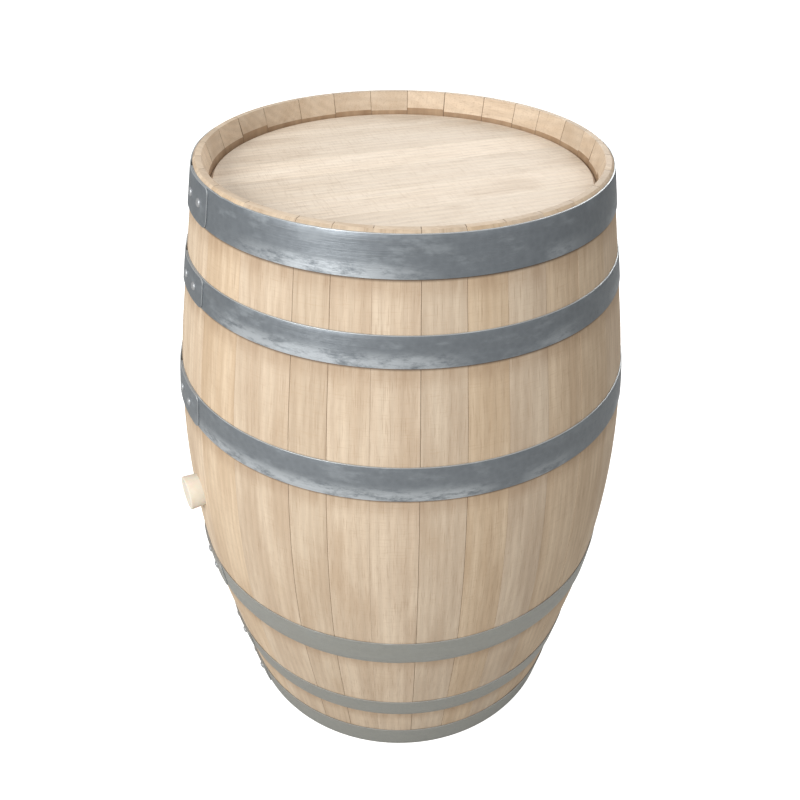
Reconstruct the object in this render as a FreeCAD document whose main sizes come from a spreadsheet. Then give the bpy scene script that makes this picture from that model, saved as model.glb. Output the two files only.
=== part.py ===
import FreeCAD, Part

import math
import os
import re

import Sketcher
from FreeCAD import Placement, Rotation, Vector

# Oak barrel of about 225 litres, standing on one end.
# Frame: origin on the barrel's axis at the floor, +Z up, the bunghole faces -X.
# Staves and hoops are drawn about the barrel's middle and raised by half its height.
# A head is drawn from its outer face inwards, then set in the croze at either end.
# All lengths are millimetres and all angles degrees.

os.makedirs("parts", exist_ok=True)
doc = FreeCAD.newDocument("oak_barrel")
sheet = doc.addObject("Spreadsheet::Sheet", "sizes")

# Driving sizes, each written once here and read from the sheet everywhere else.
driving_sizes = {
    # overall shape, on the outside of the wood; bulge is how far the bilge stands out past the ends
    "cask_height": 950,
    "end_diameter": 559,
    "bulge": 65.5,
    "bend_length": 510,
    # stave and its worked ends, from the rim inwards: bevel, howel, croze, howel again
    "stave_thickness": 27,
    "stave_gap": 0.1,
    "rim_chamfer": 3,
    "rim_flat": 8,
    "chime_depth": 26,
    "howel_depth": 10.4,
    "howel_above": 13.5,
    "howel_below": 14.5,
    "croze_width": 6,
    "croze_depth": 5,
    # heads; the lip is the wood between the outer face and the tongue that enters the croze
    "head_thickness": 22,
    "head_lip": 6,
    "head_edge_bevel": 4.4,
    "head_back_bevel": 20,
    "head_edge_gap": 0.3,
    "head_face_gap": 0.1,
    "board_gap": 0.1,
    "board_turn": -7.5,
    "dowel_diameter": 10,
    "dowel_length": 40,
    "dowel_spacing": 160,
    "dowel_gap": 0.05,
    # hoops; the bilge hoop is placed from the barrel's middle and the other two from the end
    "hoop_thickness": 1.8,
    "hoop_gap": 0.05,
    "head_hoop_inset": 0.1,
    "head_hoop_width": 50,
    "quarter_hoop_setback": 118,
    "quarter_hoop_width": 40,
    "bilge_hoop_reach": 138,
    "bilge_hoop_width": 49,
    "lap_azimuth": 177,
    "lap_angle": 18,
    "lap_ramp_angle": 5,
    # rivets
    "rivet_diameter": 6,
    "rivet_hole_gap": 0.05,
    "rivet_head_diameter": 12,
    "rivet_head_height": 3,
    "rivet_spacing": 40,
    # bung, measured at its outer end, and the clearance round it in its tapered hole
    "bung_azimuth": 180,
    "bung_diameter": 52,
    "bung_narrowing": 5,
    "bung_length": 50,
    "bung_proud": 20.5,
    "bung_edge_round": 1.5,
    "bung_gap": 0.3,
}

# Widths of the staves at the bilge, in order round the barrel from the bung stave.
# The ring is closed by trimming all of them in the same proportion.
stave_widths = [
    80, 85, 95, 55, 57, 65, 63, 59, 63, 68, 78, 79, 78, 74, 54,
    66, 75, 61, 72, 85, 78, 77, 78, 79, 87, 75, 72, 75, 69, 63,
]

# Widths of a head's boards in order across the head, trimmed together to fill it.
board_widths = [84, 99, 63, 83, 66, 72, 67]

# Sizes that follow from the driving ones.
# half_tan_3 is the tangent of half the slope of a stave's end, found in three steps.
# cut_overrun is how far a cutter runs past the face it cuts, which leaves no mark.
derived_sizes = {
    "half_height": "cask_height / 2",
    "end_radius": "end_diameter / 2",
    "bilge_radius": "end_radius + bulge",
    "bend_half": "bend_length / 2",
    "half_tan_1": "bulge / (cask_height - bend_half)",
    "half_tan_2": "bulge / (bend_half + (cask_height - bend_length) / (1 - half_tan_1 ^ 2))",
    "half_tan_3": "bulge / (bend_half + (cask_height - bend_length) / (1 - half_tan_2 ^ 2))",
    "end_slope": "2 * half_tan_3 / (1 - half_tan_3 ^ 2)",
    "end_cos": "1 / sqrt(1 + end_slope ^ 2)",
    "end_sin": "end_slope * end_cos",
    "bend_radius": "bend_half / end_sin",
    "inner_bend_radius": "bend_radius - stave_thickness",
    "inner_bend_half": "bend_half - stave_thickness * end_sin",
    "inner_bend_end": "bilge_radius - bend_radius + inner_bend_radius * end_cos",
    "inner_end_radius": "end_radius - stave_thickness / end_cos",
    "howel_radius": "inner_end_radius + howel_depth",
    "croze_setback": "chime_depth + howel_above",
    "croze_radius": "howel_radius + croze_depth",
    "howel_setback": "croze_setback + croze_width + howel_below",
    "head_setback": "croze_setback - head_lip",
    "tongue_radius": "croze_radius - head_edge_gap",
    "tongue_top": "head_lip + head_face_gap",
    "tongue_bottom": "head_lip + croze_width - head_face_gap",
    "head_hoop_setback": "rim_chamfer + head_hoop_inset",
    "bilge_hoop_setback": "half_height - bilge_hoop_reach - bilge_hoop_width",
    "rivet_head_radius": "rivet_head_diameter / 2",
    "rivet_dome_radius": "(rivet_head_radius ^ 2 + rivet_head_height ^ 2) / (2 * rivet_head_height)",
    "rivet_shank_length": "2 * hoop_thickness",
    "cut_overrun": "stave_thickness / 4",
    "bung_radius": "bung_diameter / 2",
    "bung_taper": "bung_narrowing / (2 * bung_length)",
    "bore_length": "stave_thickness + 2 * cut_overrun",
    "bore_outer_radius": "bung_radius + bung_gap + bung_taper * (cut_overrun - bung_proud)",
    "bore_inner_radius": "bore_outer_radius - bung_taper * bore_length",
}


def fill_sheet():
    """Writes every size into the sheet under its own alias, and returns the aliases."""
    rows = dict(driving_sizes)
    for name, widths in (("stave_width", stave_widths), ("board_width", board_widths)):
        cells = {f"{name}_{number}": width for number, width in enumerate(widths, 1)}
        rows.update(cells)
        rows[f"{name}_sum"] = "=" + " + ".join(cells)
    rows.update({alias: "=" + formula for alias, formula in derived_sizes.items()})
    for line, (alias, content) in enumerate(rows.items(), 1):
        sheet.set(f"A{line}", alias)
        sheet.set(f"B{line}", str(content))
        sheet.setAlias(f"B{line}", alias)
    doc.recompute()
    return set(rows)


aliases = fill_sheet()


def size(formula):
    """Value of a formula of the sheet's sizes."""
    return float(sheet.evalExpression(formula))


def bound(formula):
    """The formula with every size read from the sheet, for another object's expression."""
    return re.sub(r"[a-z]\w+", lambda word: ("sizes." if word[0] in aliases else "") + word[0], formula)


def origin_plane(body, role):
    """The body's own origin plane of that role."""
    return [item for item in body.Origin.OriginFeatures if item.Role == role][0]


def new_sketch(body, name, turn=0.0):
    """A sketch on the body's upright plane, turned about the body's Z axis."""
    sketch = body.newObject("Sketcher::SketchObject", name)
    sketch.AttachmentSupport = [(origin_plane(body, "XZ_Plane"), "")]
    sketch.MapMode = "FlatFace"
    sketch.AttachmentOffset = Placement(Vector(), Rotation(Vector(0, 1, 0), turn))
    return sketch


def draw_outline(sketch, corners, arcs=None):
    """Closed outline through corners, each a pair of formulas for x and y.

    arcs gives, for the edge that starts at a corner, the formula of its radius and the
    height of its middle above the chord, positive to the left of the edge.
    """
    arcs = arcs or {}
    points = [Vector(size(x), size(y), 0) for x, y in corners]
    edges = []
    for start, first in enumerate(points):
        last = points[(start + 1) % len(points)]
        if start in arcs:
            chord = last - first
            left = Vector(-chord.y, chord.x, 0).normalize()
            middle = (first + last) * 0.5 + left * arcs[start][1]
            anticlockwise = (last, middle, first) if arcs[start][1] > 0 else (first, middle, last)
            edges.append(Part.Arc(*anticlockwise))
        else:
            edges.append(Part.LineSegment(first, last))
    sketch.addGeometry(edges)

    def end_at(edge, point):
        """1 or 2, the end of the sketch's edge that lies at the point."""
        drawn = sketch.Geometry[edge]
        return 1 if drawn.StartPoint.distanceToPoint(point) < 1e-6 else 2

    for start, point in enumerate(points):
        before = (start - 1) % len(points)
        joined = (before, end_at(before, point), start, end_at(start, point))
        sketch.addConstraint(Sketcher.Constraint("Coincident", *joined))
        x, y = corners[start]
        for kind, axis, formula in (("DistanceX", -2, x), ("DistanceY", -1, y)):
            corner = joined[2:]
            if formula == "0":
                sketch.addConstraint(Sketcher.Constraint("PointOnObject", *corner, axis))
                continue
            number = sketch.addConstraint(Sketcher.Constraint(kind, -1, 1, *corner, size(formula)))
            sketch.setExpression(f"Constraints[{number}]", bound(formula))
    for start, (radius, _) in arcs.items():
        number = sketch.addConstraint(Sketcher.Constraint("Radius", start, size(radius)))
        sketch.setExpression(f"Constraints[{number}]", bound(radius))


def revolve(body, sketch, name, angle, centred=False):
    """Turns the sketch about the body's Z axis by an angle given as a formula."""
    feature = body.newObject("PartDesign::Revolution", name)
    feature.Profile = sketch
    feature.ReferenceAxis = (sketch, ["V_Axis"])
    feature.setExpression("Angle", bound(angle))
    feature.Midplane = centred
    feature.Refine = False
    sketch.Visibility = False
    return feature


def sagitta(chord, radius):
    """Height of an arc above its chord."""
    return radius - math.sqrt(radius ** 2 - chord ** 2 / 4)


def stave_section():
    """Corners and arcs of a stave's section, drawn about the barrel's middle.

    It runs from the outer face up over the rim, down the inside and back.
    """
    upper = [
        ("end_radius + ( half_height - bend_half ) * end_slope", "bend_half"),
        ("end_radius + rim_chamfer * end_slope", "half_height - rim_chamfer"),
        ("end_radius - rim_chamfer", "half_height"),
        ("end_radius - rim_chamfer - rim_flat", "half_height"),
        ("howel_radius", "half_height - chime_depth"),
        ("howel_radius", "half_height - croze_setback"),
        ("croze_radius", "half_height - croze_setback"),
        ("croze_radius", "half_height - croze_setback - croze_width"),
        ("howel_radius", "half_height - croze_setback - croze_width"),
        ("inner_end_radius + howel_setback * end_slope", "half_height - howel_setback"),
        ("inner_bend_end", "inner_bend_half"),
    ]
    lower = [(x, f"-1 * ( {y} )") for x, y in reversed(upper)]
    inner_arc = len(upper) - 1
    outer_arc = len(upper) + len(lower) - 1
    bulge_in = sagitta(2 * size("inner_bend_half"), size("inner_bend_radius"))
    bulge_out = sagitta(2 * size("bend_half"), size("bend_radius"))
    arcs = {
        inner_arc: ("inner_bend_radius", bulge_in),
        outer_arc: ("bend_radius", -bulge_out),
    }
    return upper + lower, arcs


def bore_bunghole(body):
    """The tapered bunghole through the middle of a stave, square to its face."""
    bore = body.newObject("PartDesign::SubtractiveCone", "bunghole")
    bore.AttachmentSupport = [(origin_plane(body, "YZ_Plane"), "")]
    bore.MapMode = "FlatFace"
    bore.setExpression("Radius1", bound("bore_inner_radius"))
    bore.setExpression("Radius2", bound("bore_outer_radius"))
    bore.setExpression("Height", bound("bore_length"))
    bore.setExpression("AttachmentOffset.Base.z", bound("bilge_radius - stave_thickness - cut_overrun"))


def build_staves():
    """The ring of staves, the first of them bored for the bung."""
    corners, arcs = stave_section()
    pieces = []
    start = size("bung_azimuth - stave_width_1 / stave_width_sum * 180")
    for number in range(1, len(stave_widths) + 1):
        name = "bung_stave" if number == 1 else f"stave_{number:02d}"
        body = doc.addObject("PartDesign::Body", name)
        sketch = new_sketch(body, name + "_section")
        draw_outline(sketch, corners, arcs)
        trimmed = f"stave_width_{number} / stave_width_sum * 360"
        revolve(body, sketch, name + "_sweep", f"{trimmed} - stave_gap / bilge_radius * 180 / pi", True)
        if number == 1:
            bore_bunghole(body)
        turn = size(trimmed)
        middle = Rotation(Vector(0, 0, 1), start + turn / 2)
        body.Placement = Placement(Vector(0, 0, size("half_height")), middle)
        start += turn
        pieces.append(body)
    return pieces


def wood_face(height, bent):
    """Formulas of the radius and outward normal of the wood at a height above the middle."""
    if bent:
        rise = f"( {height} ) / bend_radius"
        radius = f"bilge_radius - bend_radius + sqrt( bend_radius ^ 2 - ( {height} ) ^ 2 )"
        return radius, f"sqrt( 1 - ( {rise} ) ^ 2 )", rise
    radius = f"end_radius + ( half_height - ( {height} ) ) * end_slope"
    return radius, "end_cos", "end_sin"


def hoop_section(hoop, side, bent, lift):
    """Corners and arcs of a hoop strip's section, lifted off the wood by a formula.

    side is 1 in the upper half of the barrel and -1 in the lower half.
    """
    near = f"half_height - {hoop}_setback"
    far = f"half_height - {hoop}_setback - {hoop}_width"
    inner = []
    outer = []
    for height in (far, near):
        radius, across, along = wood_face(height, bent)
        for face, offset in ((inner, lift), (outer, f"{lift} + hoop_thickness")):
            x = f"{radius} + ( {offset} ) * ( {across} )"
            y = f"{side} * ( {height} + ( {offset} ) * ( {along} ) )"
            face.append((x, y))
    corners = [inner[0], inner[1], outer[1], outer[0]]
    if not bent:
        return corners, {}
    bulge = sagitta(size(f"{hoop}_width"), size("bend_radius")) * side
    return corners, {
        0: (f"bend_radius + {lift}", -bulge),
        2: (f"bend_radius + {lift} + hoop_thickness", bulge),
    }


def rivet_frames(hoop, side, bent):
    """Places of a hoop's two rivets on the outside of its lap, with Z along each rivet."""
    height = f"half_height - {hoop}_setback - {hoop}_width / 2"
    radius, across, along = wood_face(height, bent)
    lift = size("hoop_gap + rivet_shank_length")
    reach = size(radius) + lift * size(across)
    rise = side * (size(height) + lift * size(along))
    frames = []
    for hand in (-1, 1):
        turn = Rotation(Vector(0, 0, 1), math.degrees(hand * size("rivet_spacing / 2") / reach))
        normal = turn.multVec(Vector(size(across), 0, side * size(along)))
        frames.append(Placement(turn.multVec(Vector(reach, 0, rise)), Rotation(Vector(0, 0, 1), normal)))
    return frames


def cask_frame():
    """Place of what is drawn about the barrel's middle with the lap on its X axis."""
    return Placement(Vector(0, 0, size("half_height")), Rotation(Vector(0, 0, 1), size("lap_azimuth")))


def build_hoop(hoop, place, side, bent):
    """A strip bent round the barrel, its end lapped over its start and riveted."""
    name = f"{place}_{hoop}"
    body = doc.addObject("PartDesign::Body", name)
    lap_start = -size("lap_angle / 2")
    strip = new_sketch(body, name + "_strip_section", lap_start)
    draw_outline(strip, *hoop_section(hoop, side, bent, "hoop_gap"))
    revolve(body, strip, name + "_strip", "360 - lap_ramp_angle")
    lap = new_sketch(body, name + "_lap_section", lap_start)
    draw_outline(lap, *hoop_section(hoop, side, bent, "hoop_gap + hoop_thickness"))
    revolve(body, lap, name + "_lap", "lap_angle")
    ramp_start = new_sketch(body, name + "_ramp_start", lap_start - size("lap_ramp_angle"))
    draw_outline(ramp_start, *hoop_section(hoop, side, bent, "hoop_gap"))
    ramp_end = new_sketch(body, name + "_ramp_end", lap_start)
    draw_outline(ramp_end, *hoop_section(hoop, side, bent, "hoop_gap + hoop_thickness"))
    ramp = body.newObject("PartDesign::AdditiveLoft", name + "_ramp")
    ramp.Profile = ramp_start
    ramp.Sections = [ramp_end]
    ramp.Ruled = True
    ramp.Refine = False
    below = Placement(Vector(0, 0, -size("rivet_shank_length + cut_overrun")), Rotation())
    for number, frame in enumerate(rivet_frames(hoop, side, bent), 1):
        hole = body.newObject("PartDesign::SubtractiveCylinder", f"{name}_rivet_hole_{number}")
        hole.AttachmentSupport = [(origin_plane(body, "XY_Plane"), "")]
        hole.MapMode = "FlatFace"
        hole.setExpression("Radius", bound("rivet_diameter / 2 + rivet_hole_gap"))
        hole.setExpression("Height", bound("rivet_shank_length + 2 * cut_overrun"))
        hole.AttachmentOffset = frame * below
    body.Placement = cask_frame()
    return body


def build_rivets(hoop, place, side, bent):
    """The two rivets of a hoop's lap, as one group."""
    rivets = []
    for number, frame in enumerate(rivet_frames(hoop, side, bent), 1):
        name = f"{place}_{hoop}_rivet_{number}"
        body = doc.addObject("PartDesign::Body", name)
        sketch = new_sketch(body, name + "_section")
        corners = [
            ("0", "-1 * rivet_shank_length"),
            ("rivet_diameter / 2", "-1 * rivet_shank_length"),
            ("rivet_diameter / 2", "0"),
            ("rivet_head_radius", "0"),
            ("0", "rivet_head_height"),
        ]
        chord = math.hypot(size("rivet_head_radius"), size("rivet_head_height"))
        bulge = sagitta(chord, size("rivet_dome_radius"))
        draw_outline(sketch, corners, {3: ("rivet_dome_radius", -bulge)})
        revolve(body, sketch, name + "_turned", "360")
        body.Placement = cask_frame() * frame
        rivets.append(body)
    group = doc.addObject("Part::Compound", f"{place}_{hoop}_rivets")
    group.Links = rivets
    return group


def build_head_blank():
    """The round head before it is parted into boards, its outer face at z = 0."""
    body = doc.addObject("PartDesign::Body", "head_blank")
    sketch = new_sketch(body, "head_blank_section")
    corners = [
        ("0", "0"),
        ("0", "-1 * head_thickness"),
        ("howel_radius - head_back_bevel", "-1 * head_thickness"),
        ("howel_radius - head_edge_gap", "-1 * tongue_bottom"),
        ("tongue_radius", "-1 * tongue_bottom"),
        ("tongue_radius", "-1 * tongue_top"),
        ("howel_radius - head_edge_gap", "-1 * tongue_top"),
        ("howel_radius - head_edge_bevel", "0"),
    ]
    draw_outline(sketch, corners)
    revolve(body, sketch, "head_blank_turned", "360")
    return body


def trimmed_board(number):
    """Formula of the width that a board takes up across the head."""
    return f"board_width_{number} / board_width_sum * 2 * tongue_radius"


def board_joints():
    """Distances of the board joints from the head's centre, both outer edges included."""
    joints = [size("tongue_radius")]
    for number in range(1, len(board_widths) + 1):
        joints.append(joints[-1] - size(trimmed_board(number)))
    return joints


def build_dowels(name, gap):
    """Dowels across every joint of a head, made wider and longer by a gap for their holes."""
    pins = []
    for joint, distance in enumerate(board_joints()[1:-1], 1):
        for hand, side in (("left", -1), ("right", 1)):
            pin = doc.addObject("Part::Cylinder", f"{name}_{joint}_{hand}")
            pin.setExpression("Radius", bound(f"dowel_diameter / 2 + {gap}"))
            pin.setExpression("Height", bound(f"dowel_length + 2 * {gap}"))
            foot = distance - size(f"dowel_length / 2 + {gap}")
            along = side * size("dowel_spacing / 2")
            place = Vector(along, foot, -size("head_thickness / 2"))
            pin.Placement = Placement(place, Rotation(Vector(1, 0, 0), -90))
            pins.append(pin)
    group = doc.addObject("Part::Compound", name)
    group.Links = pins
    return group


def build_slab(number, joints):
    """The block that takes one board out of the head, past the rim where no joint bounds it."""
    outermost = number == 1
    innermost = number == len(board_widths)
    spare = " + cut_overrun - board_gap / 2" if outermost or innermost else " - board_gap"
    foot = joints[number] + (-size("cut_overrun") if innermost else size("board_gap / 2"))
    slab = doc.addObject("Part::Box", f"board_slab_{number}")
    slab.setExpression("Length", bound("2 * ( tongue_radius + cut_overrun )"))
    slab.setExpression("Width", bound(trimmed_board(number) + spare))
    slab.setExpression("Height", bound("head_thickness + 2 * cut_overrun"))
    corner = Vector(-size("tongue_radius + cut_overrun"), foot, -size("head_thickness + cut_overrun"))
    slab.Placement = Placement(corner, Rotation())
    return slab


def head_frame(place):
    """Place of a head drawn from its outer face, boards turned to their direction."""
    boards = Rotation(Vector(0, 0, 1), size("board_turn"))
    if place == "top":
        return Placement(Vector(0, 0, size("cask_height - head_setback")), boards)
    return Placement(Vector(0, 0, size("head_setback")), boards * Rotation(Vector(1, 0, 0), 180))


def build_heads():
    """Both heads: each the round blank parted into boards, with dowels in the joints."""
    blank = build_head_blank()
    holes = build_dowels("dowel_holes", "dowel_gap")
    joints = board_joints()
    pieces = []
    for number in range(1, len(board_widths) + 1):
        slab = build_slab(number, joints)
        for place in ("top", "bottom"):
            plank = doc.addObject("Part::Common", f"{place}_head_plank_{number}")
            plank.Base = blank
            plank.Tool = slab
            board = doc.addObject("Part::Cut", f"{place}_head_board_{number}")
            board.Base = plank
            board.Tool = holes
            board.Placement = head_frame(place)
            pieces.append(board)
    for place in ("top", "bottom"):
        dowels = build_dowels(f"{place}_head_dowels", "0")
        dowels.Placement = head_frame(place)
        pieces.append(dowels)
    return pieces


def build_bung():
    """The tapered bung, its round end face proud of the bilge."""
    body = doc.addObject("PartDesign::Body", "bung")
    sketch = new_sketch(body, "bung_section")
    corners = [
        ("0", "0"),
        ("bung_radius - bung_narrowing / 2", "0"),
        ("bung_radius", "bung_length"),
        ("0", "bung_length"),
    ]
    draw_outline(sketch, corners)
    plug = revolve(body, sketch, "bung_turned", "360")
    doc.recompute()
    rims = [
        f"Edge{number}"
        for number, edge in enumerate(plug.Shape.Edges, 1)
        if edge.Closed and isinstance(edge.Curve, Part.Circle)
    ]
    rounded = body.newObject("PartDesign::Fillet", "bung_rims")
    rounded.Base = (plug, rims)
    rounded.setExpression("Radius", bound("bung_edge_round"))
    outwards = Rotation(Vector(0, 0, 1), size("bung_azimuth")) * Rotation(Vector(0, 1, 0), 90)
    foot = outwards.multVec(Vector(0, 0, size("bilge_radius + bung_proud - bung_length")))
    body.Placement = Placement(foot + Vector(0, 0, size("half_height")), outwards)
    return body


def check_and_export(pieces):
    """Stops on any failed object or bad shape, then writes one STEP file for each piece."""
    failed = [item.Name for item in doc.Objects if {"Invalid", "Error"} & set(item.State)]
    if failed:
        raise SystemExit(f"failed objects: {failed}")
    for piece in pieces:
        shape = piece.Shape
        if shape.isNull() or not shape.isValid() or not shape.Solids:
            raise SystemExit(f"bad shape: {piece.Label}")
    for piece in pieces:
        piece.Shape.exportStep(f"parts/{piece.Label}.step")
        print(piece.Label, len(piece.Shape.Solids), round(piece.Shape.Volume))


barrel = build_staves()
for place, side in (("top", 1), ("bottom", -1)):
    for hoop, bent in (("head_hoop", False), ("quarter_hoop", False), ("bilge_hoop", True)):
        barrel.append(build_hoop(hoop, place, side, bent))
        barrel.append(build_rivets(hoop, place, side, bent))
barrel += build_heads()
barrel.append(build_bung())
doc.recompute()
check_and_export(barrel)
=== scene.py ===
import bpy
import math
import random
from mathutils import Matrix, Vector


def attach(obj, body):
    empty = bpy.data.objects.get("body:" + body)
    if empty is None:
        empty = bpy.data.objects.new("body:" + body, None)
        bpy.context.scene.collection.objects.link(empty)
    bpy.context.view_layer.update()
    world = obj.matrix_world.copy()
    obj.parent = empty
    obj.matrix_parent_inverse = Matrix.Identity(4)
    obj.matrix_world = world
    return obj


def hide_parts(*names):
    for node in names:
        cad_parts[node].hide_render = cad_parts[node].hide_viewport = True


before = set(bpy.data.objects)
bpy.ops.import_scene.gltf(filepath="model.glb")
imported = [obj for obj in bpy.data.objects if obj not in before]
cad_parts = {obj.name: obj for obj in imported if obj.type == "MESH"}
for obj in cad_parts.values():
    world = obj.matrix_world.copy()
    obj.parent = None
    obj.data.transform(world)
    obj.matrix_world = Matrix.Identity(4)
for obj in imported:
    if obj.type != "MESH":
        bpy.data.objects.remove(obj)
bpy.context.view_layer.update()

# The studio: a plain white floor, a white room, one broad soft light high on the left
# and weaker ones on the right and behind. The camera stands where the photograph was taken.
bpy.context.scene.view_settings.view_transform = "Standard"
pitch, yaw, roll = 0.6130, 0.0201, 0.0212
level_right = Vector((math.cos(yaw), -math.sin(yaw), 0))
level_ahead = Vector((math.sin(yaw), math.cos(yaw), 0))
look = math.cos(pitch) * level_ahead - math.sin(pitch) * Vector((0, 0, 1))
lift = math.sin(pitch) * level_ahead + math.cos(pitch) * Vector((0, 0, 1))
across = math.cos(roll) * level_right + math.sin(roll) * lift
upward = math.cos(roll) * lift - math.sin(roll) * level_right
aim = Matrix((across, upward, -look)).transposed()
bpy.ops.object.camera_add(location=(-0.5276, -0.9923, 1.3205))
camera = bpy.context.object
camera.rotation_euler = (Matrix.Rotation(math.radians(-28), 3, "Z") @ aim).to_euler()
camera.data.lens = 37.68
camera.data.shift_x = -0.0196
bpy.context.scene.camera = camera
lamps = (((-2.5, -1.1, 2.1), 1.3, 85), ((0.9, -2.4, 2.5), 1.6, 14), ((2.0, 1.8, 2.2), 2.0, 52))
for stand, size, power in lamps:
    bpy.ops.object.light_add(type="AREA", location=stand)
    lamp = bpy.context.object
    lamp.data.size = size
    lamp.data.energy = power
    lamp.rotation_euler = (Vector(stand) - Vector((0, 0, 0.6))).to_track_quat("Z", "Y").to_euler()
room = bpy.data.worlds.new("white_room")
room.use_nodes = True
room.node_tree.nodes["Background"].inputs["Color"].default_value = (1, 1, 1, 1)
seen = room.node_tree.nodes.new("ShaderNodeLightPath")
glow = room.node_tree.nodes.new("ShaderNodeMapRange")
glow.inputs["To Min"].default_value = 0.42
glow.inputs["To Max"].default_value = 1.0
room.node_tree.links.new(seen.outputs["Is Camera Ray"], glow.inputs["Value"])
room.node_tree.links.new(glow.outputs["Result"], room.node_tree.nodes["Background"].inputs["Strength"])
bpy.context.scene.world = room
bpy.ops.mesh.primitive_plane_add(size=60)
floor = bpy.context.object
floor.name = "floor"
floor_paint = bpy.data.materials.new("floor_paint")
floor_paint.use_nodes = True
floor_shader = floor_paint.node_tree.nodes["Principled BSDF"]
floor_shader.inputs["Base Color"].default_value = (0.55, 0.54, 0.52, 1)
floor_shader.inputs["Roughness"].default_value = 0.9
floor_shader.inputs["Emission Color"].default_value = (1, 1, 1, 1)
floor_seen = floor_paint.node_tree.nodes.new("ShaderNodeLightPath")
floor_paint.node_tree.links.new(floor_seen.outputs["Is Camera Ray"], floor_shader.inputs["Emission Strength"])
floor.data.materials.append(floor_paint)

# The staves: thirty lengths of oak, bent over a fire and bevelled to stand edge to edge.
# Each is one section of the barrel, outside curve, chime, howel, croze and inside curve,
# swept through the stave's own width, with its arrises eased and its chime cut by hand.
HALF_HEIGHT = 475
MIDDLE = HALF_HEIGHT / 1000
OUTER_BEND = 1372.4
INNER_BEND = 1345.4
SETBACK = 1027.4
stave_widths = [80, 85, 95, 55, 57, 65, 63, 59, 63, 68, 78, 79, 78, 74, 54,
                66, 75, 61, 72, 85, 78, 77, 78, 79, 87, 75, 72, 75, 69, 63]
stave_end = [(321.10, 255), (307.49, 327), (293.87, 399), (280.07, 472), (276.5, 475), (268.5, 475),
             (262.42, 449), (262.42, 435.5), (267.42, 435.5), (267.42, 429.5), (262.42, 429.5),
             (263.37, 415), (278.8, 332)]
outside = [(OUTER_BEND * math.cos(math.asin(h / OUTER_BEND)) - SETBACK, h) for h in range(-240, 241, 30)]
inside = [(INNER_BEND * math.cos(math.asin(h / INNER_BEND)) - SETBACK, h) for h in range(240, -241, -60)]
stave_section = outside + stave_end + inside + [(r, -h) for r, h in reversed(stave_end)]
dice = random.Random(225)


def edit(obj):
    """Everything else is let go, and obj is opened in edit mode with all of it selected."""
    if bpy.context.object and bpy.context.object.mode != "OBJECT":
        bpy.ops.object.mode_set(mode="OBJECT")
    bpy.ops.object.select_all(action="DESELECT")
    obj.select_set(True)
    bpy.context.view_layer.objects.active = obj
    bpy.ops.object.mode_set(mode="EDIT")
    bpy.ops.mesh.select_mode(type="VERT")
    bpy.ops.mesh.select_all(action="SELECT")


def pick(obj, wanted):
    """Selects the points of obj, open in edit mode, whose place or number is wanted."""
    bpy.ops.mesh.select_all(action="DESELECT")
    bpy.ops.object.mode_set(mode="OBJECT")
    for v in obj.data.vertices:
        v.select = wanted(v.co, v.index)
    bpy.ops.object.mode_set(mode="EDIT")


def outline(name, points, closed=True):
    """A line of points (radius, height) in millimetres on the plane through the axis."""
    bpy.ops.object.select_all(action="DESELECT")
    start = Vector((points[0][0] / 1000, 0, points[0][1] / 1000))
    bpy.ops.mesh.primitive_plane_add(size=0.001, location=start)
    obj = bpy.context.object
    obj.name = name
    bpy.ops.object.transform_apply(location=True, rotation=True, scale=True)
    edit(obj)
    bpy.ops.mesh.merge(type="CENTER")
    here = start
    for r, h in list(points[1:]) + ([points[0]] if closed else []):
        there = Vector((r / 1000, 0, h / 1000))
        bpy.ops.mesh.extrude_region_move(TRANSFORM_OT_translate={"value": there - here})
        here = there
    bpy.ops.mesh.select_all(action="SELECT")
    if closed:
        bpy.ops.mesh.remove_doubles(threshold=0.00001)
        bpy.ops.mesh.edge_face_add()
    bpy.ops.object.mode_set(mode="OBJECT")
    return obj


def sweep(obj, degrees, steps, begin):
    """Spins obj's section about the barrel's axis from the azimuth begin, counter-clockwise."""
    count = len(obj.data.vertices)
    edit(obj)
    bpy.ops.mesh.spin(steps=steps, angle=math.radians(degrees), center=(0, 0, 0), axis=(0, 0, 1))
    bpy.ops.object.mode_set(mode="OBJECT")
    far = max(obj.data.vertices[count:2 * count], key=lambda v: v.co.xy.length)
    if far.co.y < 0:
        obj.scale.y = -1
    obj.rotation_euler.z = math.radians(begin)
    bpy.ops.object.transform_apply(location=True, rotation=True, scale=True)


def close_up(obj, ease=0.0, sharp=20, rounds=2):
    """Merges doubles, turns the faces outwards, eases the arrises and smooths the shading."""
    edit(obj)
    bpy.ops.mesh.remove_doubles(threshold=0.000005)
    bpy.ops.mesh.normals_make_consistent(inside=False)
    bpy.ops.object.mode_set(mode="OBJECT")
    if ease:
        arris = obj.modifiers.new("arris", "BEVEL")
        arris.width = ease / 1000
        arris.segments = rounds
        arris.limit_method = "ANGLE"
        arris.angle_limit = math.radians(30)
        bpy.ops.object.modifier_apply(modifier="arris")
    bpy.ops.object.shade_smooth_by_angle(angle=math.radians(sharp))


def copy_of(obj, name):
    """A copy with a mesh of its own."""
    bpy.ops.object.select_all(action="DESELECT")
    obj.select_set(True)
    bpy.context.view_layer.objects.active = obj
    bpy.ops.object.duplicate()
    new = bpy.context.object
    new.name = name
    new.data.name = name
    return new


def discard(obj):
    """Removes a template that has served."""
    bpy.data.objects.remove(obj, do_unlink=True)


def group_of(name, gives, takes):
    """A new shader node group with a Place input, number inputs and number outputs."""
    tree = bpy.data.node_groups.new(name, "ShaderNodeTree")
    tree.interface.new_socket("Place", in_out="INPUT", socket_type="NodeSocketVector")
    for label in takes:
        tree.interface.new_socket(label, in_out="INPUT", socket_type="NodeSocketFloat")
    for label in gives:
        tree.interface.new_socket(label, in_out="OUTPUT", socket_type="NodeSocketFloat")
    return tree, tree.nodes.new("NodeGroupInput"), tree.nodes.new("NodeGroupOutput")


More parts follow.
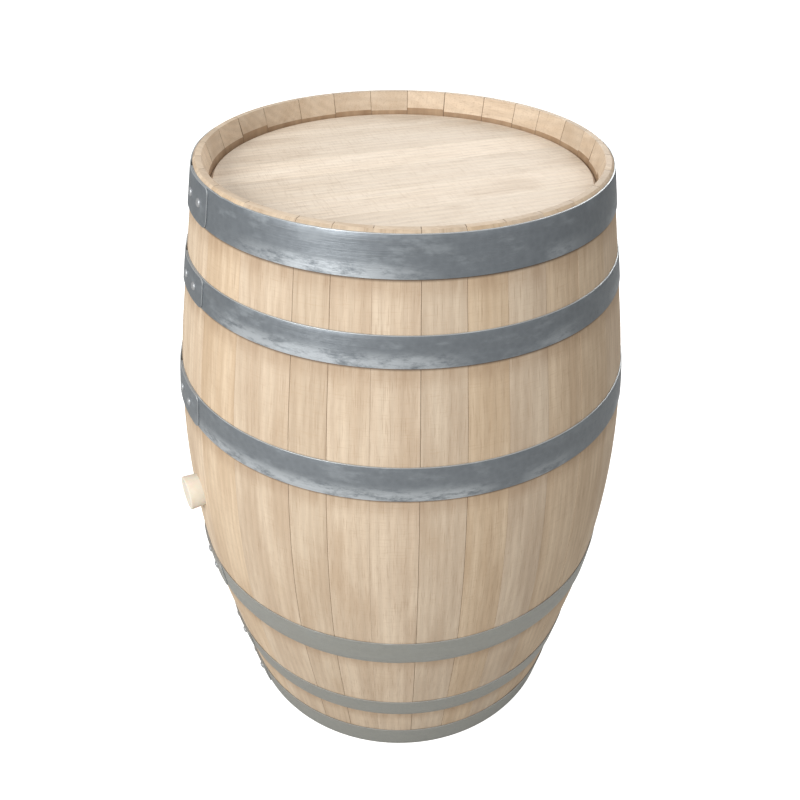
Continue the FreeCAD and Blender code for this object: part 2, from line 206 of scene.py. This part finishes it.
def stretched(tree, place, scale, shift=None):
    """The place scaled along each direction, and moved by a number so that pieces differ."""
    move = tree.nodes.new("ShaderNodeVectorMath")
    move.operation = "MULTIPLY"
    tree.links.new(place, move.inputs[0])
    move.inputs[1].default_value = scale
    if shift is None:
        return move.outputs[0]
    add = tree.nodes.new("ShaderNodeVectorMath")
    tree.links.new(move.outputs[0], add.inputs[0])
    tree.links.new(shift, add.inputs[1])
    return add.outputs[0]


def mottle(tree, place, scale, detail=4.0, rough=0.6):
    """Soft noise over a place."""
    noise = tree.nodes.new("ShaderNodeTexNoise")
    noise.inputs["Scale"].default_value = scale
    noise.inputs["Detail"].default_value = detail
    noise.inputs["Roughness"].default_value = rough
    tree.links.new(place, noise.inputs["Vector"])
    return noise.outputs["Fac"]


def between(tree, value, low, high, to_low=0.0, to_high=1.0):
    """Brings a value from low..high to another range, held at its ends."""
    span = tree.nodes.new("ShaderNodeMapRange")
    span.interpolation_type = "SMOOTHSTEP"
    tree.links.new(value, span.inputs["Value"])
    for label, number in (("From Min", low), ("From Max", high), ("To Min", to_low), ("To Max", to_high)):
        span.inputs[label].default_value = number
    return span.outputs["Result"]


def reckon(tree, kind, a, b):
    """One sum on two values, of which b may be a plain number."""
    node = tree.nodes.new("ShaderNodeMath")
    node.operation = kind
    tree.links.new(a, node.inputs[0])
    if isinstance(b, (int, float)):
        node.inputs[1].default_value = b
    else:
        tree.links.new(b, node.inputs[1])
    return node.outputs[0]


def tint(tree, share, under, over):
    """Two colours, each a plain colour or a link, mixed by a share."""
    mix = tree.nodes.new("ShaderNodeMix")
    mix.data_type = "RGBA"
    tree.links.new(share, mix.inputs["Factor"])
    for socket, colour in ((mix.inputs[6], under), (mix.inputs[7], over)):
        if isinstance(colour, tuple):
            socket.default_value = (*colour, 1)
        else:
            tree.links.new(colour, socket)
    return mix.outputs[2]


grain_masks = ("Pores", "Figure", "Streaks", "Flecks", "Stain")
oak_grain, taken, given = group_of("oak_grain", grain_masks, ("Seed",))
place = taken.outputs["Place"]
seed = taken.outputs["Seed"]
pores = mottle(oak_grain, stretched(oak_grain, place, (820, 820, 26), seed), 1.0, 3.0, 0.7)
oak_grain.links.new(between(oak_grain, pores, 0.5, 0.74), given.inputs["Pores"])
bands = oak_grain.nodes.new("ShaderNodeTexWave")
bands.inputs["Scale"].default_value = 1.0
bands.inputs["Distortion"].default_value = 7.0
bands.inputs["Detail"].default_value = 3.0
bands.inputs["Detail Scale"].default_value = 0.6
oak_grain.links.new(stretched(oak_grain, place, (26, 26, 2.6), seed), bands.inputs["Vector"])
oak_grain.links.new(bands.outputs["Fac"], given.inputs["Figure"])
streaks = mottle(oak_grain, stretched(oak_grain, place, (38, 38, 4.5), seed), 1.0, 4.0, 0.55)
oak_grain.links.new(between(oak_grain, streaks, 0.3, 0.72), given.inputs["Streaks"])
flecks = mottle(oak_grain, stretched(oak_grain, place, (45, 45, 620), seed), 1.0, 2.0, 0.6)
oak_grain.links.new(between(oak_grain, flecks, 0.5, 0.75), given.inputs["Flecks"])
stain = mottle(oak_grain, stretched(oak_grain, place, (16, 16, 6), seed), 1.0, 3.0, 0.5)
oak_grain.links.new(between(oak_grain, stain, 0.52, 0.75), given.inputs["Stain"])


def lay_grain(obj, across_and_along):
    """Writes the map that the grain follows: metres across and along the piece."""
    grain_map = obj.data.uv_layers.new(name="along_grain")
    for corner in obj.data.loops:
        grain_map.data[corner.index].uv = across_and_along(obj.data.vertices[corner.vertex_index].co)


def oak(name, pale, dark, number, along=None, under_hoop_shade=True):
    """Raw oak: pores, figure, ray flecks and stains along the piece, each piece its own. On the staves it
    also paints the shadow of each hoop as a darker mottled band below it, and a thin painted shade line right
    under the hoop's edge.
    """
    finish = bpy.data.materials.new(name)
    finish.use_nodes = True
    tree = finish.node_tree
    shader = tree.nodes["Principled BSDF"]
    spot = tree.nodes.new("ShaderNodeTexCoord").outputs["Object"]
    if along is None:
        grain_map = tree.nodes.new("ShaderNodeUVMap")
        grain_map.uv_map = "along_grain"
        split = tree.nodes.new("ShaderNodeSeparateXYZ")
        tree.links.new(grain_map.outputs["UV"], split.inputs[0])
        lay = tree.nodes.new("ShaderNodeCombineXYZ")
        tree.links.new(split.outputs["X"], lay.inputs["X"])
        tree.links.new(split.outputs["Y"], lay.inputs["Z"])
    else:
        lay = tree.nodes.new("ShaderNodeMapping")
        lay.inputs["Rotation"].default_value = along
        tree.links.new(spot, lay.inputs["Vector"])
    grain = tree.nodes.new("ShaderNodeGroup")
    grain.node_tree = oak_grain
    grain.inputs["Seed"].default_value = number
    tree.links.new(lay.outputs["Vector"], grain.inputs["Place"])
    colour = tint(tree, grain.outputs["Streaks"], dark, pale)
    figure = reckon(tree, "MULTIPLY", grain.outputs["Figure"], 0.17)
    colour = tint(tree, figure, colour, tuple(c * 0.62 for c in dark))
    fleck = reckon(tree, "MULTIPLY", grain.outputs["Flecks"], 0.26)
    colour = tint(tree, fleck, colour, (0.44, 0.31, 0.19))
    pore = reckon(tree, "MULTIPLY", grain.outputs["Pores"], 0.5)
    colour = tint(tree, pore, colour, (0.30, 0.19, 0.11))
    soil = reckon(tree, "MULTIPLY", grain.outputs["Stain"], 0.3)
    colour = tint(tree, soil, colour, (0.40, 0.27, 0.16))
    # Painted shadow: below each hoop's lower edge a mottled band is darkened as the hoop's cast shadow. A
    # thin near-black line right under the edge is painted shade in the gap there, partly a dark line of rust.
    if under_hoop_shade:
        parts = tree.nodes.new("ShaderNodeSeparateXYZ")
        tree.links.new(spot, parts.inputs[0])
        shadow_mottle = mottle(tree, stretched(tree, spot, (70, 70, 9)), 1.0, 2.0)
        for top in (0.8968, 0.792, 0.613, 0.289, 0.1181):
            under = between(tree, parts.outputs["Z"], top - 0.034, top - 0.004)
            above = between(tree, parts.outputs["Z"], top + 0.002, top + 0.006, 1.0, 0.0)
            band = reckon(tree, "MULTIPLY", reckon(tree, "MULTIPLY", under, above), shadow_mottle)
            colour = tint(tree, reckon(tree, "MULTIPLY", band, 0.8), colour, (0.30, 0.19, 0.11))
            close = between(tree, parts.outputs["Z"], top - 0.005, top - 0.001)
            line = reckon(tree, "MULTIPLY", close, above)
            colour = tint(tree, reckon(tree, "MULTIPLY", line, 0.85), colour, (0.10, 0.065, 0.04))
    tree.links.new(colour, shader.inputs["Base Color"])
    tree.links.new(between(tree, grain.outputs["Streaks"], 0, 1, 0.62, 0.74), shader.inputs["Roughness"])
    sunk = reckon(tree, "MULTIPLY", grain.outputs["Pores"], -0.6)
    height = reckon(tree, "ADD", grain.outputs["Streaks"], sunk)
    bump = tree.nodes.new("ShaderNodeBump")
    bump.inputs["Strength"].default_value = 0.35
    bump.inputs["Distance"].default_value = 0.0004
    tree.links.new(height, bump.inputs["Height"])
    tree.links.new(bump.outputs["Normal"], shader.inputs["Normal"])
    return finish


end_grains = []
for k, t in enumerate((1.04, 0.95, 1.0, 0.9), 1):
    pale = (0.71 * t, 0.58 * t, 0.44 * t)
    dark = (0.61 * t, 0.475 * t, 0.34 * t)
    end_grains.append(oak(f"stave_end_grain_{k}", pale, dark, 7.0 * k, (math.pi / 2, 0.5, 0.4 * k), False))
# Painted shade: a dark brown oak for the howel inside the chime, standing for the shade in that recess.
howel_painted_shade = oak("painted_shade_howel_oak", (0.42, 0.29, 0.18), (0.29, 0.18, 0.10), 12.0, (0, 0, 0), False)
joint_oak = oak("joint_oak", (0.24, 0.16, 0.10), (0.15, 0.095, 0.055), 31.0, (0, 0, 0), False)
stave_blank = outline("stave_blank", [(r, h + HALF_HEIGHT) for r, h in stave_section])
ring = sum(stave_widths)
joint_angle = 0.017
turn = 180 - stave_widths[0] / 2 * 360 / ring
for number, width in enumerate(stave_widths, 1):
    name = "bung_stave" if number == 1 else f"stave_{number:02d}"
    stave = copy_of(stave_blank, "oak_" + name)
    sweep(stave, width * 360 / ring - joint_angle, 6, turn + joint_angle / 2)
    edit(stave)
    pick(stave, lambda co, i: co.z > 0.92 and 0.2620 < co.xy.length < 0.2630)
    bpy.ops.transform.translate(value=(0, 0, dice.uniform(-0.0035, 0.0025)))
    pick(stave, lambda co, i: co.xy.length > 0.2735 + 0.043 * (1 - ((co.z - MIDDLE) / MIDDLE) ** 2))
    shrink = 1 - dice.uniform(0.0, 0.0011)
    bpy.ops.transform.resize(value=(shrink, shrink, 1), center_override=(0, 0, 0))
    open_joint = number in (4, 7, 14, 20, 26)
    close_up(stave, 0.5 if open_joint else dice.uniform(0.28, 0.4))
    if number == 1:
        bpy.ops.mesh.primitive_cone_add(vertices=64, radius1=0.023025, radius2=0.026025, depth=0.06,
                                        location=(-0.33, 0, MIDDLE), rotation=(0, -math.pi / 2, 0))
        reamer = bpy.context.object
        bpy.context.view_layer.objects.active = stave
        hole = stave.modifiers.new("bunghole", "BOOLEAN")
        hole.object = reamer
        hole.solver = "EXACT"
        bpy.ops.object.modifier_apply(modifier="bunghole")
        discard(reamer)
    heart = math.radians(turn + width * 180 / ring)
    lay_grain(stave, lambda co: (co.xy.length * math.remainder(math.atan2(co.y, co.x) - heart, 2 * math.pi),
                                 co.z))
    tone = dice.uniform(0.86, 1.04)
    grey = dice.uniform(0.0, 0.04)
    pale = (0.72 * tone - grey, 0.56 * tone, 0.385 * tone + grey)
    dark = (0.58 * tone - grey, 0.42 * tone, 0.265 * tone + grey)
    stave.data.materials.clear()
    stave.data.materials.append(oak("raw_" + name, pale, dark, dice.uniform(1, 60)))
    stave.data.materials.append(end_grains[dice.randrange(4)])
    stave.data.materials.append(howel_painted_shade)
    stave.data.materials.append(joint_oak)
    for face in stave.data.polygons:
        level = abs(face.center.z - MIDDLE)
        beside = Vector((-face.center.y, face.center.x)).normalized()
        turned = abs(face.normal.xy.dot(beside))
        at_chime = face.center.xy.length < 0.2772 and level > 0.41
        if turned > 0.97 or (turned > 0.33 and (open_joint or at_chime)):
            face.material_index = 3
        elif face.center.xy.length < 0.2770 and level > 0.4475:
            face.material_index = 1
        # Painted shade: the recessed howel faces below the chime bevel take the dark oak.
        elif face.center.xy.length < 0.2680 and level > 0.41:
            face.material_index = 2
    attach(stave, "cask")
    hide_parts(name)
    turn += width * 360 / ring
discard(stave_blank)

# The hoops: six galvanised steel strips bent round the barrel, each lapped over its own end
# in line with the bung. Each is a strip section swept round once and a little more, its last
# part lifted over the first, with edges rolled smooth in the mill.
HOOP = 1.8
hoop_zinc, taken, given = group_of("hoop_zinc", ("Spangle", "Patches", "Scratches"), ("Seed",))
crystals = hoop_zinc.nodes.new("ShaderNodeTexVoronoi")
crystals.inputs["Scale"].default_value = 1.0
spread = stretched(hoop_zinc, taken.outputs["Place"], (120, 120, 120), taken.outputs["Seed"])
hoop_zinc.links.new(spread, crystals.inputs["Vector"])
hoop_zinc.links.new(crystals.outputs["Distance"], given.inputs["Spangle"])
drift = stretched(hoop_zinc, taken.outputs["Place"], (20, 20, 50), taken.outputs["Seed"])
cloud = mottle(hoop_zinc, drift, 1.0, 6.0, 0.7)
hoop_zinc.links.new(between(hoop_zinc, cloud, 0.5, 0.68), given.inputs["Patches"])
scored = stretched(hoop_zinc, taken.outputs["Place"], (9, 9, 1300), taken.outputs["Seed"])
scratches = between(hoop_zinc, mottle(hoop_zinc, scored, 1.0, 3.0), 0.45, 0.7)
hoop_zinc.links.new(scratches, given.inputs["Scratches"])


def zinc(name, base, bright, patch, number, foot=None):
    """Galvanised steel: grey zinc with crystals, cloudy bright patches and fine scoring; given a foot, also a
    painted highlight low on the front-left side, mixed with rubbed wear.
    """
    finish = bpy.data.materials.new(name)
    finish.use_nodes = True
    tree = finish.node_tree
    shader = tree.nodes["Principled BSDF"]
    coat = tree.nodes.new("ShaderNodeGroup")
    coat.node_tree = hoop_zinc
    coat.inputs["Seed"].default_value = number
    spot = tree.nodes.new("ShaderNodeTexCoord").outputs["Object"]
    tree.links.new(spot, coat.inputs["Place"])
    colour = tint(tree, reckon(tree, "MULTIPLY", coat.outputs["Spangle"], 0.22), base, bright)
    # Painted highlight: near the lower edge, a lighter cloudy band strongest on the front-left side stands
    # for light caught there, mixed with mottled rubbed wear along the rest of the edge.
    if foot is not None:
        parts = tree.nodes.new("ShaderNodeSeparateXYZ")
        tree.links.new(spot, parts.inputs[0])
        low_part = between(tree, parts.outputs["Z"], foot + 0.024, foot + 0.006)
        facing = tree.nodes.new("ShaderNodeVectorMath")
        facing.operation = "DOT_PRODUCT"
        facing.inputs[1].default_value = (-0.72, -0.69, 0)
        tree.links.new(spot, facing.inputs[0])
        rubbed = mottle(tree, stretched(tree, spot, (5, 5, 0.5)), 1.0, 1.0)
        length = reckon(tree, "MAXIMUM", between(tree, facing.outputs["Value"], 0.252, 0.292),
                        between(tree, rubbed, 0.56, 0.66, 0.0, 0.5))
        cloudy = between(tree, mottle(tree, stretched(tree, spot, (28, 28, 90)), 1.0, 6.0, 0.75), 0.34, 0.56)
        highlight_and_wear = reckon(tree, "MULTIPLY", reckon(tree, "MULTIPLY", low_part, length), cloudy)
        colour = tint(tree, reckon(tree, "MULTIPLY", highlight_and_wear, 0.6), colour, (0.66, 0.70, 0.73))
    patched = reckon(tree, "MULTIPLY", coat.outputs["Patches"], patch)
    colour = tint(tree, patched, colour, (0.60, 0.64, 0.66))
    scratched = reckon(tree, "MULTIPLY", coat.outputs["Scratches"], 0.18)
    colour = tint(tree, scratched, colour, (0.20, 0.21, 0.21))
    tree.links.new(colour, shader.inputs["Base Color"])
    shader.inputs["Metallic"].default_value = 0.55
    tree.links.new(between(tree, coat.outputs["Patches"], 0, 1, 0.42, 0.60), shader.inputs["Roughness"])
    bump = tree.nodes.new("ShaderNodeBump")
    bump.inputs["Strength"].default_value = 0.25
    bump.inputs["Distance"].default_value = 0.0003
    rough = reckon(tree, "ADD", coat.outputs["Scratches"], coat.outputs["Spangle"])
    tree.links.new(rough, bump.inputs["Height"])
    tree.links.new(bump.outputs["Normal"], shader.inputs["Normal"])
    return finish


def outer_radius(h):
    """The barrel's outside radius in millimetres at a height above or below its middle."""
    h = abs(h)
    straight_from = 255
    straight_radius = 321.10
    narrowing = 0.18907
    if h < straight_from:
        return math.sqrt(OUTER_BEND ** 2 - h * h) - SETBACK
    return straight_radius - (h - straight_from) * narrowing


blue_grey = ((0.185, 0.205, 0.225), (0.34, 0.375, 0.40))
green_grey = ((0.34, 0.345, 0.32), (0.45, 0.455, 0.42))
# Painted highlight: a lighter zinc for the hoops' top edges and lap ends, standing for light caught on those
# edges.
painted_highlight_edge = zinc("painted_highlight_hoop_edge", (0.46, 0.48, 0.49), (0.64, 0.66, 0.67), 0.5, 3.0)
# Painted shade: a near-black zinc for the hoops' lower edges, standing for the shade under them, partly a
# real dark line of dirt and rust.
underside_shade_and_dirt = zinc("hoop_lower_edge", (0.035, 0.03, 0.028), (0.07, 0.06, 0.055), 0.1, 6.0)
hoop_rows = [("head", 3.1, 53.1, 0.15), ("quarter", 118, 158, 0.06), ("bilge", 288, 337, 0.06)]
for side in ("top", "bottom"):
    for kind, near, far, gap in hoop_rows:
        steps = 6
        heights = [HALF_HEIGHT - near - (far - near) * k / steps for k in range(steps + 1)]
        skin = [(outer_radius(h) + gap, h) for h in heights]
        back = [(r + HOOP, h - HOOP * 0.12) for r, h in reversed(skin)]
        sign = 1 if side == "top" else -1
        hoop = outline(f"steel_{side}_{kind}_hoop", [(r, HALF_HEIGHT + sign * h) for r, h in skin + back])
        count = len(hoop.data.vertices)
        sweep(hoop, 378, 189, 168)
        edit(hoop)
        for step in range(178, 181):
            pick(hoop, lambda co, i: i >= step * count)
            grow = 1 + (HOOP + 0.05) / 3 / 1000 / hoop.data.vertices[0].co.xy.length
            bpy.ops.transform.resize(value=(grow, grow, 1), center_override=(0, 0, 0))
        rims = [(HALF_HEIGHT + sign * heights[k]) / 1000 for k in (0, -1)]
        pick(hoop, lambda co, i: i >= 189 * count and min(abs(co.z - rim) for rim in rims) < 0.0008)
        bpy.ops.mesh.bevel(offset=0.0085, segments=5, affect="EDGES")
        for mark in range(7):
            knock = dice.uniform(0, 2 * math.pi)
            edge = (HALF_HEIGHT + sign * heights[0]) / 1000
            pick(hoop, lambda co, i: abs(co.z - edge) < 0.0006 and
                 abs(math.remainder(math.atan2(co.y, co.x) - knock, 2 * math.pi)) < 0.02)
            bpy.ops.transform.translate(value=(0, 0, -sign * dice.uniform(0.0002, 0.0007)))
        close_up(hoop, 0.45)
        base, bright = blue_grey if side == "top" else green_grey
        patch = 0.14 if side == "top" else 0.08
        # Only the upper hoops get the painted highlight near their lower edge.
        foot = (HALF_HEIGHT + heights[-1]) / 1000 if side == "top" else None
        galvanised = zinc(f"galvanised_{side}_{kind}", base, bright, patch, dice.uniform(1, 40), foot)
        hoop.data.materials.clear()
        hoop.data.materials.append(galvanised)
        hoop.data.materials.append(painted_highlight_edge)
        hoop.data.materials.append(underside_shade_and_dirt)
        for face in hoop.data.polygons:
            beside = Vector((-face.center.y, face.center.x)).normalized()
            # Painted highlight: faces turned upwards along the top edge, and the side-facing faces of the lap
            # end, take the lighter zinc as if lit.
            if face.normal.z > 0.45 or abs(face.normal.xy.dot(beside)) > 0.45:
                face.material_index = 1
            # Painted shade: faces turned downwards along the lower edge take the near-black zinc.
            elif face.normal.z < -0.45:
                face.material_index = 2
        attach(hoop, "cask")
        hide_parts(f"{side}_{kind}_hoop")

# The rivets: two of cold steel in the lap of each hoop, their heads hammered to low domes on
# the outside of it. Each dome is a squashed ball cut at its seat.
for side in ("top", "bottom"):
    for kind, near, far, gap in hoop_rows:
        sign = 1 if side == "top" else -1
        middle = HALF_HEIGHT - (near + far) / 2
        lean = math.atan2(outer_radius(middle - 5) - outer_radius(middle + 5), 10)
        seat = (outer_radius(middle) + gap + 2 * HOOP + 0.05) / 1000
        domes = []
        for along in (-20, 20):
            bpy.ops.object.select_all(action="DESELECT")
            bpy.ops.mesh.primitive_uv_sphere_add(segments=28, ring_count=14, radius=0.006)
            dome = bpy.context.object
            edit(dome)
            bpy.ops.transform.resize(value=(1, 1, 0.52), center_override=(0, 0, 0))
            bpy.ops.mesh.select_all(action="SELECT")
            bpy.ops.mesh.bisect(plane_co=(0, 0, -0.0002), plane_no=(0, 0, 1), use_fill=True, clear_inner=True)
            pick(dome, lambda co, i: co.z > 0.0028)
            bpy.ops.transform.translate(value=(0, 0, -0.0002))
            bpy.ops.object.mode_set(mode="OBJECT")
            bearing = math.radians(177) + along / 1000 / seat
            dome.rotation_euler = (0, math.pi / 2 - sign * lean, bearing)
            level = (HALF_HEIGHT + sign * middle) / 1000
            dome.location = (seat * math.cos(bearing), seat * math.sin(bearing), level)
            bpy.ops.object.transform_apply(location=True, rotation=True, scale=True)
            domes.append(dome)
        bpy.ops.object.select_all(action="DESELECT")
        for dome in domes:
            dome.select_set(True)
        bpy.context.view_layer.objects.active = domes[0]
        bpy.ops.object.join()
        rivets = bpy.context.object
        rivets.name = f"steel_{side}_{kind}_hoop_rivets"
        close_up(rivets, sharp=40)
        rivets.data.materials.clear()
        rivet_steel = zinc(f"rivet_{side}_{kind}", (0.36, 0.37, 0.38), (0.56, 0.58, 0.60), 0.3, 9.0)
        rivets.data.materials.append(rivet_steel)
        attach(rivets, "cask")
        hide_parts(f"{side}_{kind}_hoop_rivets")

# The heads: two round covers of seven oak boards, dowelled edge to edge, turned to a disc
# and bevelled to a tongue that sits in the croze. One disc is turned, then sawn into boards.
joints = [300, 183.1, 84.0, 21.0, -62.0, -128.1, -200.1, -300]
head_section = [(0, 916.5), (120, 916.5), (257.7, 916.5), (262.0, 912.1), (262.0, 910.45), (267.1, 910.45),
                (267.1, 904.6), (247.1, 894.5), (120, 894.5), (0, 894.5)]
disc = outline("head_blank", head_section, False)
sweep(disc, 360, 96, 0)
close_up(disc)
board_turn = -7.5
board_tones = (0.98, 0.95, 1.06, 0.97, 1.0, 0.94, 0.98)
for side in ("top", "bottom"):
    for number in range(7):
        board = copy_of(disc, f"oak_{side}_head_board_{number + 1}")
        for edge, way in ((joints[number], 1), (joints[number + 1], -1)):
            edit(board)
            bpy.ops.mesh.bisect(plane_co=(0, (edge - way * 0.05) / 1000, 0), plane_no=(0, way, 0),
                                use_fill=True, clear_outer=True)
        edit(board)
        bpy.ops.mesh.dissolve_limited(angle_limit=0.002)
        close_up(board, 0.22)
        if side == "bottom":
            board.rotation_euler.x = math.pi
            board.location.z = 0.95
            bpy.ops.object.transform_apply(location=True, rotation=True, scale=True)
        board.rotation_euler.z = math.radians(board_turn)
        bpy.ops.object.transform_apply(location=True, rotation=True, scale=True)
        lay_grain(board, lambda co: (0.1305 * co.x + 0.9914 * co.y, 0.9914 * co.x - 0.1305 * co.y))
        tone = board_tones[number]
        board.data.materials.clear()
        pale = (0.87 * tone, 0.76 * tone, 0.63 * tone)
        dark = (0.80 * tone, 0.675 * tone, 0.535 * tone)
        board_oak = oak(f"head_{side}_{number + 1}", pale, dark, dice.uniform(1, 60), None, False)
        board.data.materials.append(board_oak)
        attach(board, "cask")
        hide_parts(f"{side}_head_board_{number + 1}")
discard(disc)

# The dowels: turned hardwood pins hidden in the joints of each head, glued into both boards.
# They keep the shape from the construction and get a plain close-grained wood.
pin_wood = oak("dowel_beech", (0.70, 0.52, 0.36), (0.58, 0.41, 0.27), 5.0, (math.pi / 2, 0, 0), False)
for side in ("top", "bottom"):
    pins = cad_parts[f"{side}_head_dowels"]
    for slot in pins.material_slots:
        slot.material = pin_wood

# The bung: one tapered plug of moulded cream silicone, pressed into the bunghole by hand.
# Its face has a low raised rim, and its edges are rounded by the mould.
plug_section = [(0, 19.9), (12, 19.9), (20.4, 19.9), (21.4, 20.5), (24.5, 20.5), (25.6, 20.05),
                (25.97, 19.0), (24.0, -20), (23.53, -28.4), (22.5, -29.5), (0, -29.5)]
plug = outline("silicone_bung", plug_section, False)
sweep(plug, 360, 64, 0)
close_up(plug, 0, 50)
plug.rotation_euler = (0, -math.pi / 2, 0)
plug.location = (-0.345, 0, MIDDLE)
bpy.ops.object.transform_apply(location=True, rotation=True, scale=True)
silicone = bpy.data.materials.new("cream_silicone")
silicone.use_nodes = True
tree = silicone.node_tree
shader = tree.nodes["Principled BSDF"]
spot = tree.nodes.new("ShaderNodeTexCoord").outputs["Object"]
haze = between(tree, mottle(tree, spot, 60.0, 3.0), 0.35, 0.7)
tree.links.new(tint(tree, haze, (0.72, 0.655, 0.545), (0.77, 0.71, 0.61)), shader.inputs["Base Color"])
tree.links.new(between(tree, haze, 0, 1, 0.42, 0.55), shader.inputs["Roughness"])
shader.inputs["Subsurface Weight"].default_value = 0.15
matt = tree.nodes.new("ShaderNodeBump")
matt.inputs["Strength"].default_value = 0.1
matt.inputs["Distance"].default_value = 0.0003
tree.links.new(mottle(tree, spot, 900.0, 2.0), matt.inputs["Height"])
tree.links.new(matt.outputs["Normal"], shader.inputs["Normal"])
plug.data.materials.clear()
plug.data.materials.append(silicone)
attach(plug, "bung")
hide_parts("bung")
